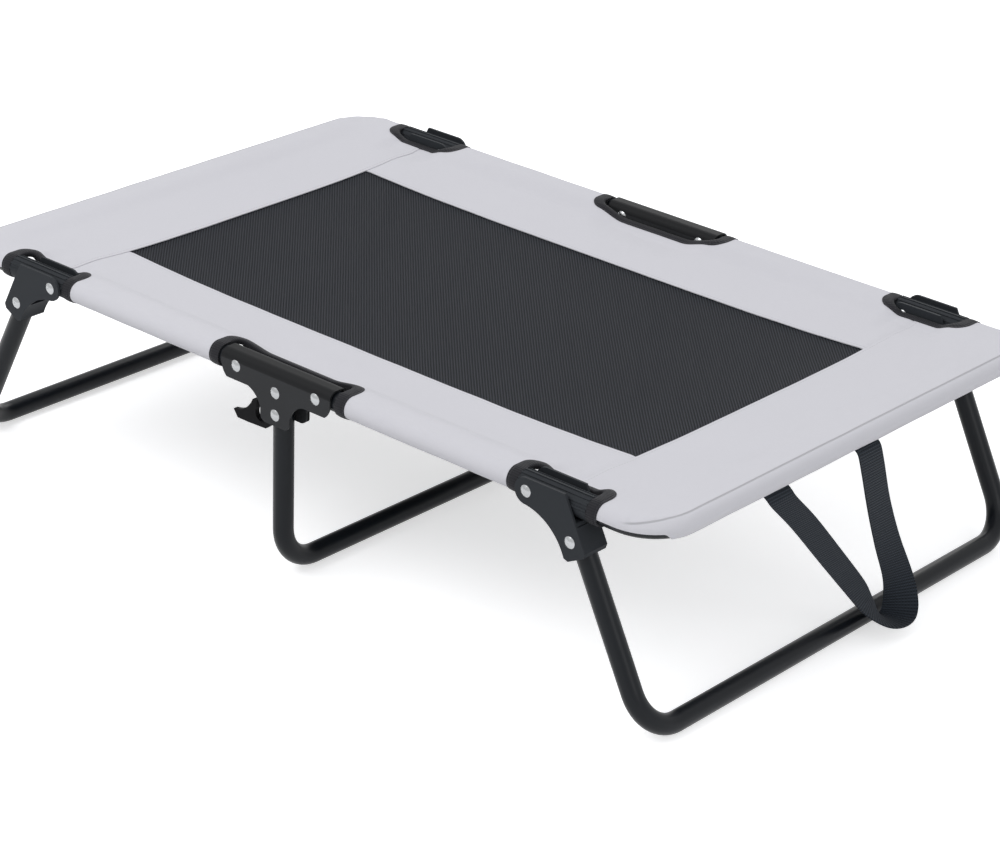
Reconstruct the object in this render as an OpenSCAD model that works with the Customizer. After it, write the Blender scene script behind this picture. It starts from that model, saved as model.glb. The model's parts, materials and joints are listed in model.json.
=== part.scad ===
// Folding raised cot for a dog: two U-shaped tube halves hinged in a pair of
// pressed steel brackets on a fixed middle leg, a folding leg at each end, and
// a sewn sling of woven panels round a see-through mesh. X runs along the
// cot, with the foot end at +X. Y runs across it, with the near side at -Y.
// The origin is on the floor, below the middle of the cot.

/* [Tubes] */
// Outside diameter of every tube
tube_d = 22; // [18:0.5:26]
// Wall of every tube
tube_wall = 1.2; // [0.8:0.1:2]
// Radius of every tube bend, on the tube's axis
bend_r = 45; // [40:1:60]

/* [Frame] */
// Distance between the axes of the two side rails
rail_gap = 620; // [480:10:800]
// Height of the rail axes above the floor
rail_h = 226; // [200:2:260]
// Distance from the middle to the axis of each end rail
end_x = 490; // [475:5:600]

/* [Fold bracket] */
// Distance from the middle to each fold pivot
fold_x = 57; // [54:1:66]
// How far an ear reaches round its pivot
ear_r = 21; // [18:0.5:24]
// Distance in from a pivot to the start of the sweep to the stem
ear_neck = 7; // [4:0.5:10]
// Depth of the ears below the pivots
ear_drop = 16; // [13:0.5:18]
// Width of the stem on the middle leg
stem_w = 42; // [36:1:48]
// Depth of the stem below the pivots
stem_drop = 49; // [46:1:54]
// Radius of the stem's lower corners
stem_corner_r = 8; // [4:0.5:12]
// Depth of the hollow sweep between ear and stem
stem_sweep = 8.5; // [5:0.5:11]
// Thickness of the pressed sheet
sheet_t = 2; // [1.5:0.1:3]
// Outside radius of the rolled top's two edges
roll_r = 9.6; // [8:0.1:9.6]
// Depth of the upper stem rivet below the pivots
stem_rivet_high = 12; // [10:0.5:14]
// Depth of the lower stem rivet below the pivots
stem_rivet_low = 37; // [34:0.5:40]
// Angle that each half folds down
fold_angle = 65; // [50:1:66]

/* [Leg catch] */
// Thickness of the moulded catch
catch_t = 6; // [4:0.5:8]
// Room round a folded leg in its seat
catch_room = 2.5; // [2:0.25:4]
// Reach of the catch's lip from the middle
catch_reach = 88; // [84:1:92]
// Depth of the underside of the lip below the pivots
catch_drop = 75; // [72:1:80]
// Height of the lip's tip above its underside
lip_rise = 8.5; // [6:0.5:12]
// Depth of the hollow between the seat and the lip's tip
lip_hollow = 5; // [2:0.5:7]
// Thickness of the wall between the seat and the lip
catch_wall = 6; // [4:0.5:8]
// Depth of the arm below the seat
arm_depth = 14; // [8:0.5:15]
// Distance of the catch's plate in from the sides of the stem
plate_margin = 3; // [2:0.5:5]
// Radius of the plate's corners
plate_corner_r = 4; // [2:0.5:6]

/* [End legs] */
// Distance from the middle to each leg pivot
leg_pivot_x = 342; // [335:1:350]
// Distance outwards from the leg pivot to the rivet in the leg
leg_rivet_out = 57; // [53:0.5:60]
// Depth of the rivet in the leg below the leg pivot
leg_rivet_drop = 34; // [31:0.5:37]
// Distance from the middle to the axis of each floor bar
floor_bar_x = 493; // [480:1:510]
// Length of leg tube above its rivet
leg_over = 12; // [9:0.5:14]

/* [Leg bracket] */
// Thickness of the bracket's two cheeks
cheek_t = 2.6; // [2:0.1:3.5]
// Radius of the cheeks round the pivot
cheek_r = 14; // [12:0.5:14.5]
// Length of the socket below the leg rivet
socket_below = 18; // [14:0.5:24]
// Wall of the socket round the leg tube
socket_wall = 3.4; // [2.5:0.1:4]
// Length of the bevels at the bracket's lower corners
socket_bevel = 4; // [2:0.5:6]
// Depth of the hollow sweep along the cheeks' inner edge
cheek_sweep = 9; // [6:0.5:11]
// Thickness of the stop below the rail
stop_t = 3; // [2:0.25:4]
// Wall of the saddle round the rail
saddle_wall = 1.5; // [1.2:0.1:1.8]
// Height of the ribs on the saddle
rib_h = 1; // [0.5:0.1:1.2]
// Width of the ribs on the saddle
rib_w = 2; // [1.5:0.1:3]
// Number of ribs over the top of the saddle
rib_count = 7; // [5:1:9]

/* [Rivets] */
// Diameter of the rivet shanks
rivet_d = 6; // [5:0.25:7]
// Diameter of the rivet heads
head_d = 12.8; // [11:0.2:14]
// Height of the rivet heads
head_h = 2.4; // [1.8:0.1:3]

/* [Cover] */
// Thickness of the woven cloth and of the mesh
cloth_t = 1; // [0.6:0.1:1.2]
// Half the length of the mesh
mesh_half_l = 366; // [350:1:372]
// Half the width of the mesh
mesh_half_w = 190; // [150:1:230]
// Width of the binding along a cut-out
bind_w = 8; // [5:0.5:10]
// Width of the binding collars round the rails
collar_w = 13; // [10:0.5:16]
// Thickness of the binding
bind_t = 1.9; // [1.5:0.1:2.2]
// Distance from the rail axis to the inner edge of a cut-out
cut_depth = 20; // [19.5:0.5:26]
// Half the length of the cut-out at a fold bracket
fold_cut = 84; // [82:0.5:90]
// Length of an end cut-out towards the middle, from the leg pivot
cut_in = 15; // [15:0.5:20]
// Length of an end cut-out towards the end, from the leg pivot
cut_out = 71; // [64:1:76]
// Radius of the cut-outs' corners
cut_r = 10; // [8:0.5:12]
// Depth of the sling's sag halfway along each half
sag_depth = 20; // [8:1:20]
// Share of that depth at the fold
sag_fold = 0.5; // [0.3:0.05:0.5]
// Width of the level edge along the rails, where the sag begins
sag_edge = 11; // [10:0.5:13]
// Further sag of the free edges at the cut-outs
cut_sag = 6; // [0:0.5:6]

/* [Carry strap] */
// Width of the webbing
strap_w = 38; // [25:1:40]
// Thickness of the webbing
strap_t = 1.6; // [1.2:0.1:2]
// Distance from the cot's middle line to the strap's near end
strap_side = 128; // [100:1:140]
// Farthest that the loop hangs out from the end rail's axis
strap_swing = 37; // [34:0.5:44]
// Radius of the loose turn at the bottom of the loop
strap_turn_r = 11; // [8:0.5:12]
// Height of the middle of the turn above the floor
strap_turn_h = 20; // [19:0.5:30]
// Angle that the near strand leans back
strap_lean = 34; // [0:1:40]

/* [Hidden] */
$fn = 64;

STEEL = "#1b1c1e";
PLASTIC = "#34363a";
SILVER = "#c9cbcd";
CLOTH = "#cfced3";
MESH = "#35363a";
BINDING = "#303136";

// Clearances: loose round parts, turning pins, cloth seams
round_gap = 0.3;
pin_gap = 0.05;
seam_gap = 0.2;
// Overlap that carries a cut or a joined shape clear of a face
through = 1;

tube_r = tube_d / 2;
bore_r = tube_r - tube_wall;
rail_y = rail_gap / 2;
rivet_r = rivet_d / 2;
hole_r = rivet_r + pin_gap;

// Pressed sheet: the inside clears the rail, and the rivets close on the outside
sheet_in = tube_r + round_gap;
sheet_out = sheet_in + sheet_t;
wall_top = sheet_out - roll_r;

// Cover: the sleeves clear the rails, and the panels lie level with their tops
sleeve_in = tube_r + round_gap;
sleeve_out = sleeve_in + cloth_t;
collar_out = sleeve_in + bind_t;

// Leg bracket: the cheeks clear the collars and the saddle's ribs
saddle_in = tube_r + pin_gap;
saddle_out = saddle_in + saddle_wall;
cheek_in = max(collar_out, saddle_out + rib_h) + 2 * round_gap;
cheek_out = cheek_in + cheek_t;

// An end leg, seen from the near side and measured outwards and up from its pivot
leg_rivet = [leg_rivet_out, -leg_rivet_drop];
floor_bar = [floor_bar_x - leg_pivot_x, tube_r - rail_h];
leg_len = norm(floor_bar - leg_rivet);
leg_dir = (floor_bar - leg_rivet) / leg_len;
leg_side = [-leg_dir.y, leg_dir.x];
leg_tilt = atan2(-leg_dir.y, leg_dir.x);

// Where a folded leg's bend crosses a catch with its half folded down
catch_y = sheet_out + catch_t / 2;
bend_in = bend_r - sqrt(bend_r * bend_r - (bend_r - catch_y) * (bend_r - catch_y));
leg_along = floor_bar * leg_dir;
leg_off = -leg_rivet * leg_side;
folded = [leg_pivot_x - fold_x - leg_along + bend_in, leg_off];
seat = [
    fold_x + folded.x * cos(fold_angle) + folded.y * sin(fold_angle),
    -folded.x * sin(fold_angle) + folded.y * cos(fold_angle)
];
seat_r = tube_r + catch_room;
// The bend crosses the catch aslant, so the seat narrows to a toe along the leg
toe_r = 0.68 * seat_r;
bend_toe = sqrt(pow(bend_r - tube_r, 2) - pow(bend_r - sheet_out, 2));
toe_at = bend_r - bend_in - bend_toe + catch_room / 2 - toe_r;

// Cut-outs, from their inner edges to the cloth that their binding takes in
cut_a = leg_pivot_x - cut_in;
cut_b = leg_pivot_x + cut_out;
cloth_y = rail_y - cut_depth - bind_w;
edge_y = rail_y - cut_depth;
fold_cloth = fold_cut + collar_w;

// Sag of the sling: level at the rails, shallow at the fold and deepest halfway along each
// half, with the free edges at the cut-outs a little lower
sag_run = (mesh_half_l - fold_x) / 2;
cut_run = 3 * cut_depth;
function ease(t) = let (u = min(max(t, 0), 1)) u * u * (3 - 2 * u);
function sling_sag(u, v) =
    let (inside = min(end_x - u, rail_y - v) - sag_edge)
    sag_depth * (1 - pow(u / end_x, 4)) * (1 - pow(v / rail_y, 4)) * ease(inside / (3 * sag_edge))
        * (sag_fold + (1 - sag_fold) * ease((u - fold_x) / sag_run));
function edge_sag(u, v) =
    let (at_fold = ease((fold_cut - u) / (2 * cut_depth)),
         at_leg = ease((u - cut_a) / cut_depth) * ease((cut_b - u) / cut_depth))
    cut_sag * max(at_fold, at_leg) * ease((v - edge_y + cut_run) / cut_run);
function sag_at(x, y) = sling_sag(abs(x), abs(y)) + edge_sag(abs(x), abs(y));

// Lines of the sagging sheet: the stops, the steps between them, and both again on the other side
sag_step = 36;
function steps(a, b) = ceil((b - a) / sag_step);
function half_lines(stops) = [
    for (i = [0 : len(stops) - 2], k = [0 : steps(stops[i], stops[i + 1]) - 1])
        stops[i] + (stops[i + 1] - stops[i]) * k / steps(stops[i], stops[i + 1]),
    stops[len(stops) - 1]
];
function sag_lines(stops) =
    let (half = half_lines(stops), last = len(half) - 1)
    [for (i = [-last : last]) sign(i) * half[abs(i)]];
sag_x = sag_lines([0, fold_x, fold_cut, cut_a, cut_b, end_x - sag_edge, end_x + through]);
sag_y = sag_lines([0, mesh_half_w, edge_y, rail_y - sag_edge, rail_y + through]);
// Sides of the round sleeves and collars, and of the end sleeves' bends
sleeve_sides = 32;
bend_sides = 48;

// The strap's route, from under the end rail down to its turn and up again: each point is
// its share of the swing out from the end rail, of the near end's distance and of the fall
strap_top_h = rail_h - sleeve_out - strap_t / 2 - round_gap;
function strap_at(p) = [
    end_x + p.x * strap_swing, p.y * strap_side, strap_top_h - p.z * (strap_top_h - strap_turn_h)
];
strap_down = [for (p = [
    [-0.108, -1, 0], [0.068, -1, 0.005], [0.189, -0.996, 0.028], [0.27, -0.969, 0.084],
    [0.378, -0.844, 0.174], [0.514, -0.656, 0.3], [0.649, -0.438, 0.446], [0.811, -0.172, 0.627],
    [1, 0.125, 0.819]
]) strap_at(p)];
strap_turn = strap_at([0.757, 0.484, 1]);
strap_up = [for (p = [
    [0.459, 0.586, 0.869], [0.419, 0.523, 0.708], [0.378, 0.43, 0.517], [0.324, 0.32, 0.315],
    [0.284, 0.227, 0.154], [0.257, 0.18, 0.074], [0.189, 0.16, 0.028], [0.068, 0.156, 0.005],
    [-0.108, 0.156, 0]
]) strap_at(p)];

function unit(v) = v / norm(v);
turn_steps = 6;
turn_in = unit(strap_turn - strap_down[len(strap_down) - 1]);
turn_out = unit(strap_up[0] - strap_turn);
turn_down = unit([0, turn_in.y - turn_out.y, turn_in.z - turn_out.z]);
turn_mid = [for (i = [0 : turn_steps])
    let (a = 180 * i / turn_steps)
    strap_turn + strap_turn_r * (sin(a) * turn_down + cos(a) * [1, 0, 0])];
strap_path = concat(strap_down, turn_mid, strap_up);

// Shapes in profile, drawn along one axis
module along_x(x0, x1) {
    translate([x0, 0, 0]) rotate([90, 0, 90]) linear_extrude(x1 - x0) children();
}

module along_y(y0, y1) {
    translate([0, y1, 0]) rotate([90, 0, 0]) linear_extrude(y1 - y0) children();
}

module ring_2d(r_out, r_in) {
    difference() {
        circle(r_out);
        circle(r_in);
    }
}

module round_box_2d(low, high, r) {
    translate([low.x + r, low.y]) square([high.x - low.x - 2 * r, high.y - low.y]);
    translate([low.x, low.y + r]) square([high.x - low.x, high.y - low.y - 2 * r]);
    for (x = [low.x + r, high.x - r], y = [low.y + r, high.y - r]) translate([x, y]) circle(r);
}

// Disc whose edge runs from a to b, hollowing the line between them by depth
module sweep_2d(a, b, depth) {
    half = norm(b - a) / 2;
    r = (half * half + depth * depth) / (2 * depth);
    side = [(b - a).y, -(b - a).x] / (2 * half);
    translate((a + b) / 2 + side * (r - depth)) circle(r);
}

// Turns a foot-end piece round to the head end
module head_end() {
    mirror([1, 0, 0]) children();
}

module both_sides() {
    for (side = [0, 1]) mirror([0, side, 0]) children();
}

// Hole or pin across a tube, at x and z on the near side rail
module cross_pin(x, z, r, half) {
    translate([x, half - rail_y, z]) rotate([90, 0, 0]) cylinder(r = r, h = 2 * half);
}

// Tube bent to a U: a bar along Y, and two arms that run back along X
module u_bar(r, reach) {
    bend_y = rail_y - bend_r;
    translate([-bend_r, bend_y, 0]) rotate([90, 0, 0]) linear_extrude(2 * bend_y) translate([bend_r, 0]) circle(r);
    both_sides() {
        translate([-bend_r, bend_y, 0]) rotate_extrude(angle = 90) translate([bend_r, 0]) circle(r);
        translate([0, bend_y, 0]) mirror([1, 0, 0]) along_x(bend_r, reach) translate([bend_r, 0]) circle(r);
    }
}

module u_tube(reach) {
    difference() {
        u_bar(tube_r, reach);
        u_bar(bore_r, reach + through);
    }
}

// Rivet across a rail or leg, from y0 to y1 off its axis, with a domed head on each side
module rivet(x, z, y0, y1) {
    translate([x, -rail_y, z]) rotate([-90, 0, 0]) {
        translate([0, 0, y0]) cylinder(r = rivet_r, h = y1 - y0);
        translate([0, 0, y1]) rivet_head();
        translate([0, 0, y0]) mirror([0, 0, 1]) rivet_head();
    }
}

module rivet_head() {
    head_r = head_d / 2;
    dome_r = (head_r * head_r + head_h * head_h) / (2 * head_h);
    rotate_extrude() intersection() {
        translate([0, head_h - dome_r]) circle(dome_r);
        square([head_r, head_h]);
    }
}

// Middle leg and fold brackets
module middle_leg_tube() {
    color(STEEL) difference() {
        translate([0, 0, tube_r]) rotate([0, 90, 0]) u_tube(rail_h - tube_r);
        both_sides() for (drop = [stem_rivet_high, stem_rivet_low])
            cross_pin(0, rail_h - drop, hole_r, tube_r + through);
    }
}

// Outline of one bracket wall, measured from the pivots' height
module fold_wall_2d() {
    ear_in = [fold_x - ear_neck, through - ear_drop];
    stem_out = [stem_w / 2 - through, stem_corner_r - stem_drop];
    translate([-ear_in.x, -ear_drop]) square([2 * ear_in.x, ear_drop]);
    translate([-fold_x - ear_r, 0]) square([2 * (fold_x + ear_r), wall_top]);
    for (side = [-1, 1]) intersection() {
        translate([side * fold_x, 0]) circle(ear_r);
        translate([side * fold_x - ear_r, -ear_drop]) square([2 * ear_r, ear_drop]);
    }
    difference() {
        polygon([[-ear_in.x, ear_in.y], ear_in, stem_out, [-stem_out.x, stem_out.y]]);
        for (side = [0, 1]) mirror([side, 0]) sweep_2d(stem_out, ear_in, stem_sweep);
    }
    intersection() {
        round_box_2d([-stem_w / 2, -stem_drop], [stem_w / 2, 0], stem_corner_r);
        translate([-stem_w / 2, -stem_drop]) square([stem_w, stem_drop - ear_drop]);
    }
}

module near_fold_bracket() {
    reach = fold_x + ear_r;
    color(PLASTIC) difference() {
        translate([0, -rail_y, rail_h]) {
            along_x(-reach, reach) intersection() {
                difference() {
                    round_box_2d([-sheet_out, -sheet_out], [sheet_out, sheet_out], roll_r);
                    round_box_2d([-sheet_in, -sheet_in], [sheet_in, sheet_in], roll_r - sheet_t);
                }
                translate([-sheet_out, wall_top]) square([2 * sheet_out, roll_r]);
            }
            for (y = [-sheet_out, sheet_in]) along_y(y, y + sheet_t) fold_wall_2d();
        }
        for (x = [-fold_x, fold_x]) cross_pin(x, rail_h, hole_r, sheet_out + through);
        for (drop = [stem_rivet_high, stem_rivet_low])
            cross_pin(0, rail_h - drop, hole_r, sheet_out + through);
    }
}

module far_fold_bracket() {
    mirror([0, 1, 0]) near_fold_bracket();
}

// Outline of the catch: a plate on the stem, an arm under the folded leg and a lip
module catch_2d() {
    plate = stem_w / 2 - plate_margin;
    tip = [-catch_reach, lip_rise - catch_drop];
    post = [-seat.x - seat_r - catch_wall, seat.y];
    difference() {
        union() {
            round_box_2d([-plate, -stem_drop], [plate, head_d / 2 - stem_rivet_high], plate_corner_r);
            polygon([
                [-plate / 2, -stem_rivet_low], post, tip,
                [tip.x + catch_wall, -catch_drop], [post.x - catch_wall, -catch_drop],
                [-seat.x, seat.y - seat_r - arm_depth], [-plate / 2, -stem_drop]
            ]);
        }
        sweep_2d(post, tip, lip_hollow);
        translate([-seat.x, seat.y]) {
            circle(seat_r);
            translate([-seat_r, 0]) square([2 * seat_r, -seat.y]);
            rotate(180 + fold_angle) {
                polygon([
                    [0, round_gap - seat_r], [toe_at, round_gap - toe_r],
                    [toe_at, toe_r - round_gap], [0, seat_r - round_gap]
                ]);
                translate([toe_at, 0]) circle(toe_r);
            }
        }
    }
}

module near_leg_catch() {
    color(STEEL) difference() {
        translate([0, -rail_y, rail_h]) along_y(sheet_out, sheet_out + catch_t) catch_2d();
        for (drop = [stem_rivet_high, stem_rivet_low])
            cross_pin(0, rail_h - drop, hole_r, sheet_out + catch_t + through);
    }
}

module far_leg_catch() {
    rotate([0, 0, 180]) near_leg_catch();
}

module stem_rivets() {
    color(SILVER) both_sides() for (drop = [stem_rivet_high, stem_rivet_low])
        rivet(0, rail_h - drop, -sheet_out, sheet_out + catch_t);
}

module fold_pivot_rivets() {
    color(SILVER) both_sides() for (x = [-fold_x, fold_x])
        rivet(x, rail_h, -sheet_out, sheet_out);
}

// Frame halves
module foot_frame_tube() {
    color(STEEL) difference() {
        intersection() {
            translate([end_x, 0, rail_h]) u_tube(end_x - fold_x + tube_r);
            union() {
                translate([fold_x, -rail_gap, 0]) cube([end_x, 2 * rail_gap, 2 * rail_h]);
                both_sides() translate([fold_x, rail_y, rail_h]) sphere(tube_r + round_gap / 2);
            }
        }
        both_sides() for (x = [fold_x, leg_pivot_x]) cross_pin(x, rail_h, hole_r, tube_r + through);
    }
}

module head_frame_tube() {
    head_end() foot_frame_tube();
}

// Domed plugs that close the rails' rounded inner ends
module foot_tube_plugs() {
    plug_r = bore_r - pin_gap;
    color(STEEL) both_sides() difference() {
        translate([fold_x, -rail_y, rail_h]) {
            rotate([0, 90, 0]) cylinder(r = plug_r, h = 2 * plug_r);
            sphere(plug_r);
        }
        cross_pin(fold_x, rail_h, hole_r, tube_r);
    }
}

module head_tube_plugs() {
    head_end() foot_tube_plugs();
}

// Ribbed plastic saddle that the leg bracket turns on
module foot_near_saddle() {
    x0 = cut_a + seam_gap;
    x1 = cut_b - seam_gap;
    color(PLASTIC) difference() {
        translate([0, -rail_y, rail_h]) along_x(x0, x1) difference() {
            union() {
                circle(saddle_out);
                for (i = [0 : rib_count - 1]) rotate(180 * (i + 0.5) / rib_count)
                    translate([0, -rib_w / 2]) square([saddle_out + rib_h, rib_w]);
            }
            circle(saddle_in);
        }
        cross_pin(leg_pivot_x, rail_h, hole_r, cheek_in);
    }
}

module foot_far_saddle() {
    mirror([0, 1, 0]) foot_near_saddle();
}

module head_near_saddle() {
    head_end() foot_near_saddle();
}

module head_far_saddle() {
    head_end() foot_far_saddle();
}

module foot_leg_pivot_rivets() {
    color(SILVER) both_sides() rivet(leg_pivot_x, rail_h, -cheek_out, cheek_out);
}

module head_leg_pivot_rivets() {
    head_end() foot_leg_pivot_rivets();
}

// End legs
module foot_leg_tube() {
    color(STEEL) difference() {
        translate([floor_bar_x, 0, tube_r]) rotate([0, leg_tilt, 0]) u_tube(leg_len + leg_over);
        both_sides() cross_pin(leg_pivot_x + leg_rivet.x, rail_h + leg_rivet.y, hole_r, tube_r + through);
    }
}

module head_leg_tube() {
    head_end() foot_leg_tube();
}

// Outline of one cheek: round the pivot, along the leg, and hollowed between
module cheek_2d() {
    half = tube_r + socket_wall;
    low = leg_rivet + leg_dir * socket_below;
    out = low + leg_side * half;
    inner = low - leg_side * half;
    top_out = out - leg_dir * ((out.y - cheek_r) / leg_dir.y);
    foot = inner - leg_dir * socket_bevel;
    circle(cheek_r);
    difference() {
        polygon([
            [0, cheek_r], top_out, out - leg_dir * socket_bevel, out - leg_side * socket_bevel,
            inner + leg_side * socket_bevel, foot, [0, -cheek_r]
        ]);
        sweep_2d([0, -cheek_r], foot, cheek_sweep);
    }
}

module foot_near_leg_bracket() {
    socket_r = tube_r + socket_wall;
    socket_h = socket_below + leg_over;
    stop_top = -saddle_out - round_gap;
    // The stop clears the collar when the leg is folded
    stop_in = (collar_out + round_gap + (stop_t - stop_top) * cos(leg_tilt)) / sin(leg_tilt);
    cheek_mid = (cheek_in + cheek_out) / 2;
    color(PLASTIC) difference() {
        translate([leg_pivot_x, -rail_y, rail_h]) {
            for (y = [-cheek_out, cheek_in]) along_y(y, y + cheek_t) cheek_2d();
            along_y(-cheek_mid, cheek_mid) intersection() {
                cheek_2d();
                translate([stop_in, stop_top - stop_t]) square([leg_rivet_out, stop_t]);
            }
            along_y(-cheek_mid, cheek_mid) intersection() {
                cheek_2d();
                translate(leg_rivet) rotate(-leg_tilt) translate([-leg_over, -2 * socket_r])
                    square([leg_over + socket_below + through, 4 * socket_r]);
            }
        }
        translate([leg_pivot_x + leg_rivet.x, -rail_y, rail_h + leg_rivet.y]) rotate([0, leg_tilt - 90, 0])
            translate([0, 0, -socket_below - through])
                cylinder(r = tube_r + pin_gap, h = socket_h + 2 * through);
        cross_pin(leg_pivot_x, rail_h, hole_r, cheek_out + through);
        cross_pin(leg_pivot_x + leg_rivet.x, rail_h + leg_rivet.y, hole_r, cheek_out + through);
    }
}

module foot_far_leg_bracket() {
    mirror([0, 1, 0]) foot_near_leg_bracket();
}

module head_near_leg_bracket() {
    head_end() foot_near_leg_bracket();
}

module head_far_leg_bracket() {
    head_end() foot_far_leg_bracket();
}

module foot_leg_rivets() {
    color(SILVER) both_sides()
        rivet(leg_pivot_x + leg_rivet.x, rail_h + leg_rivet.y, -cheek_out, cheek_out);
}

module head_leg_rivets() {
    head_end() foot_leg_rivets();
}

// Cover: one sagging sheet over the whole frame, from which the panels and tapes are cut
module sagged_sheet(t) {
    nx = len(sag_x);
    ny = len(sag_y);
    points = [for (up = [0, t], x = sag_x, y = sag_y) [x, y, rail_h + sleeve_in - sag_at(x, y) + up]];
    function quad(a, b, c, d) = [[a, b, c], [a, c, d]];
    function at(i, j, up) = (up * nx + i) * ny + j;
    faces = [
        for (i = [0 : nx - 2], j = [0 : ny - 2]) each concat(
            quad(at(i, j, 1), at(i, j + 1, 1), at(i + 1, j + 1, 1), at(i + 1, j, 1)),
            quad(at(i + 1, j, 0), at(i + 1, j + 1, 0), at(i, j + 1, 0), at(i, j, 0))
        ),
        for (i = [0 : nx - 2]) each concat(
            quad(at(i, 0, 0), at(i, 0, 1), at(i + 1, 0, 1), at(i + 1, 0, 0)),
            quad(at(i + 1, ny - 1, 0), at(i + 1, ny - 1, 1), at(i, ny - 1, 1), at(i, ny - 1, 0))
        ),
        for (j = [0 : ny - 2]) each concat(
            quad(at(0, j + 1, 0), at(0, j + 1, 1), at(0, j, 1), at(0, j, 0)),
            quad(at(nx - 1, j, 0), at(nx - 1, j, 1), at(nx - 1, j + 1, 1), at(nx - 1, j + 1, 0))
        )
    ];
    polyhedron(points, faces);
}

// Cuts a plan outline out of the sagging sheet
module cloth_sheet() {
    intersection() {
        linear_extrude(2 * rail_h) children();
        sagged_sheet(cloth_t);
    }
}

module sleeve_2d(r_out) {
    ring_2d(r_out, sleeve_in, $fn = sleeve_sides);
}

module rail_sleeve(x0, x1) {
    translate([0, -rail_y, rail_h]) along_x(x0, x1) sleeve_2d(sleeve_out);
}

// Plan of a cut-out on the near side, out to the cloth or to the binding's edge
module fold_cut_2d(grow) {
    half = fold_cut + (grow > 0 ? collar_w : 0);
    round_box_2d([-half, -rail_gap], [half, -edge_y + grow], cut_r + grow);
}

module end_cut_2d(grow) {
    side = grow > 0 ? collar_w : 0;
    round_box_2d([cut_a - side, -rail_gap], [cut_b + side, -edge_y + grow], cut_r + grow);
}

// Opens a cut by the seam's gap on its cloth side
module offset_cut() {
    for (dx = [-seam_gap, seam_gap]) translate([dx, seam_gap]) children();
}

module middle_mesh() {
    color(MESH) cloth_sheet() translate([seam_gap - fold_x, seam_gap - mesh_half_w])
        square([2 * (fold_x - seam_gap), 2 * (mesh_half_w - seam_gap)]);
}

module foot_mesh() {
    color(MESH) cloth_sheet() translate([fold_x, seam_gap - mesh_half_w])
        square([mesh_half_l - seam_gap - fold_x, 2 * (mesh_half_w - seam_gap)]);
}

module head_mesh() {
    head_end() foot_mesh();
}

module near_middle_panel() {
    color(CLOTH) cloth_sheet() translate([seam_gap - fold_x, -cloth_y + seam_gap])
        square([2 * (fold_x - seam_gap), cloth_y - mesh_half_w - seam_gap]);
}

module far_middle_panel() {
    mirror([0, 1, 0]) near_middle_panel();
}

module foot_near_panel() {
    x0 = fold_cloth + seam_gap;
    x1 = cut_a - collar_w - seam_gap;
    color(CLOTH) {
        rail_sleeve(x0, x1);
        cloth_sheet() difference() {
            translate([fold_x, -rail_y]) square([mesh_half_l - seam_gap - fold_x, rail_y - mesh_half_w]);
            offset_cut() fold_cut_2d(bind_w);
            offset_cut() end_cut_2d(bind_w);
        }
    }
}

module foot_far_panel() {
    mirror([0, 1, 0]) foot_near_panel();
}

module head_near_panel() {
    head_end() foot_near_panel();
}

module head_far_panel() {
    head_end() foot_far_panel();
}

// End panel: a sleeve round the end rail and its bends, and the flat sheet
module foot_end_panel() {
    x0 = cut_b + collar_w + seam_gap;
    bend_x = end_x - bend_r;
    bend_y = rail_y - bend_r;
    // The sheet ends inside the sleeve's wall, just short of its top line
    lap = 2 * through;
    color(CLOTH) {
        both_sides() {
            rail_sleeve(x0, bend_x);
            translate([bend_x, -bend_y, rail_h]) rotate([0, 0, -90]) rotate_extrude(angle = 90, $fn = bend_sides)
                translate([bend_r, 0]) sleeve_2d(sleeve_out);
        }
        translate([end_x, 0, rail_h]) along_y(-bend_y, bend_y) sleeve_2d(sleeve_out);
        cloth_sheet() difference() {
            union() {
                translate([mesh_half_l, lap - rail_y]) square([bend_x - mesh_half_l, rail_gap - 2 * lap]);
                translate([mesh_half_l, -bend_y]) square([end_x - lap - mesh_half_l, 2 * bend_y]);
                for (y = [-bend_y, bend_y]) translate([bend_x, y]) circle(bend_r - lap);
            }
            for (side = [0, 1]) mirror([0, side]) offset_cut() end_cut_2d(bind_w);
        }
    }
}

module head_end_panel() {
    head_end() foot_end_panel();
}

// Binding tape: a band along the cut-out's edge, and a collar round each sleeve's end
module binding_sheet() {
    intersection() {
        linear_extrude(2 * rail_h) children();
        sagged_sheet(bind_t);
    }
}

module rail_collar(x0, x1) {
    translate([0, -rail_y, rail_h]) along_x(x0, x1) sleeve_2d(collar_out);
}

module foot_near_binding() {
    color(BINDING) {
        rail_collar(cut_a - collar_w, cut_a);
        rail_collar(cut_b, cut_b + collar_w);
        binding_sheet() intersection() {
            difference() {
                end_cut_2d(bind_w);
                end_cut_2d(0);
            }
            translate([0, -rail_y]) square([end_x, rail_y]);
        }
    }
}

module foot_far_binding() {
    mirror([0, 1, 0]) foot_near_binding();
}

module head_near_binding() {
    head_end() foot_near_binding();
}

module head_far_binding() {
    head_end() foot_far_binding();
}

module fold_band_2d() {
    difference() {
        fold_cut_2d(bind_w);
        fold_cut_2d(0);
    }
}

module near_middle_binding() {
    half = fold_x - seam_gap;
    color(BINDING) binding_sheet() intersection() {
        fold_band_2d();
        translate([-half, -rail_y]) square([2 * half, rail_y]);
    }
}

module far_middle_binding() {
    mirror([0, 1, 0]) near_middle_binding();
}

module foot_near_fold_binding() {
    color(BINDING) {
        rail_collar(fold_cut, fold_cloth);
        binding_sheet() intersection() {
            fold_band_2d();
            translate([fold_x, -rail_y]) square([fold_cut, rail_y]);
        }
    }
}

module foot_far_fold_binding() {
    mirror([0, 1, 0]) foot_near_fold_binding();
}

module head_near_fold_binding() {
    head_end() foot_near_fold_binding();
}

module head_far_fold_binding() {
    head_end() foot_far_fold_binding();
}

// Webbing loop: a flat band that hangs broadside to the end of the cot and turns over at the bottom
function strap_dir(i) =
    let (last = len(strap_path) - 1)
    unit(strap_path[min(i + 1, last)] - strap_path[max(i - 1, 0)]);

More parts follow.
